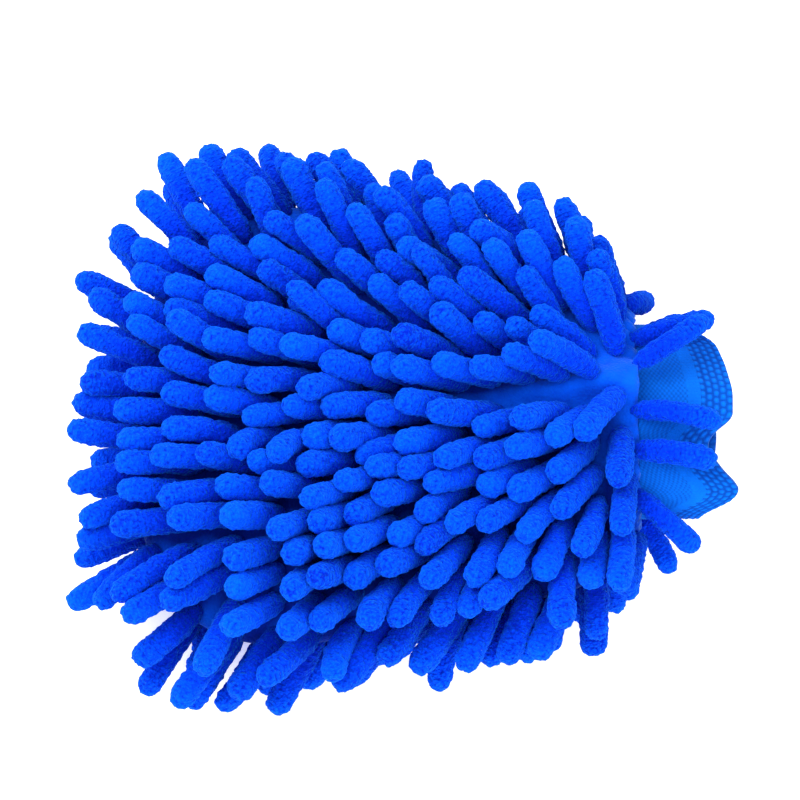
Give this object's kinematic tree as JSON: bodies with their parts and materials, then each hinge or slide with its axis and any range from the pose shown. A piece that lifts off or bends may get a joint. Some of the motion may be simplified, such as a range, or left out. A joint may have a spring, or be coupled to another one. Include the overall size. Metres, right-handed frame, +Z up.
{
  "type": "wash mitt",
  "caption": "Double-sided chenille microfibre wash mitt: flat cloth bag covered in soft finger pile, with a gathered mouth and elastic knit cuff.",
  "frame": {"origin": "on the surface that the mitt lies on, under the middle of its overall box", "axes": "+X along the mitt from the closed end to the cuff, +Y across the mitt, +Z up through the front panel"},
  "size_m": [0.2474, 0.219, 0.0764],
  "materials": {
    "chenille": "deep velvety chenille pile, royal blue, matt with a soft lighter rim",
    "ground_cloth": "warp-knitted polyester ground cloth, royal blue, matt",
    "lining": "thin brushed polyester lining, blue, matt",
    "seam_overlock": "overlocked seam allowance in matching blue thread",
    "cuff_knit": "elastic rib knit in blue polyester yarn, slight sheen",
    "elastic_thread": "flat covered elastic thread, blue"
  },
  "bodies": {
    "mitt": {"front_cloth": "ground_cloth", "back_cloth": "ground_cloth", "front_lining": "lining", "back_lining": "lining", "side_seam": "seam_overlock", "mouth_seam": "seam_overlock", "front_pile_row_01": "chenille", "front_pile_row_02": "chenille", "front_pile_row_03": "chenille", "front_pile_row_04": "chenille", "front_pile_row_05": "chenille", "front_pile_row_06": "chenille", "front_pile_row_07": "chenille", "front_pile_row_08": "chenille", "front_pile_row_09": "chenille", "front_pile_row_10": "chenille", "front_pile_row_11": "chenille", "front_pile_row_12": "chenille", "front_pile_row_13": "chenille", "front_pile_row_14": "chenille", "back_pile_row_01": "chenille", "back_pile_row_02": "chenille", "back_pile_row_03": "chenille", "back_pile_row_04": "chenille", "back_pile_row_05": "chenille", "back_pile_row_06": "chenille", "back_pile_row_07": "chenille", "back_pile_row_08": "chenille", "back_pile_row_09": "chenille", "back_pile_row_10": "chenille", "back_pile_row_11": "chenille", "back_pile_row_12": "chenille", "back_pile_row_13": "chenille", "back_pile_row_14": "chenille"},
    "cuff_upper": {"cuff_upper": "cuff_knit", "cuff_elastic_upper": "elastic_thread"},
    "cuff_lower": {"cuff_lower": "cuff_knit", "cuff_elastic_lower": "elastic_thread"}
  },
  "joints": [
    {"name": "mouth_open", "type": "hinge", "parent": "mitt", "child": "cuff_upper", "pos_m": [0.0848, 0, 0.0478], "axis": [0, -1, 0], "range_deg": [0, 26], "stiffness_Nm_per_rad": 0.03},
    {"name": "mouth_open_lower", "type": "hinge", "parent": "mitt", "child": "cuff_lower", "pos_m": [0.0848, 0, 0.0286], "axis": [0, 1, 0], "range_deg": [0, 26], "stiffness_Nm_per_rad": 0.03}
  ],
  "couplings": [
    {"joint": "mouth_open_lower", "follows": "mouth_open", "ratio": 1}
  ]
}
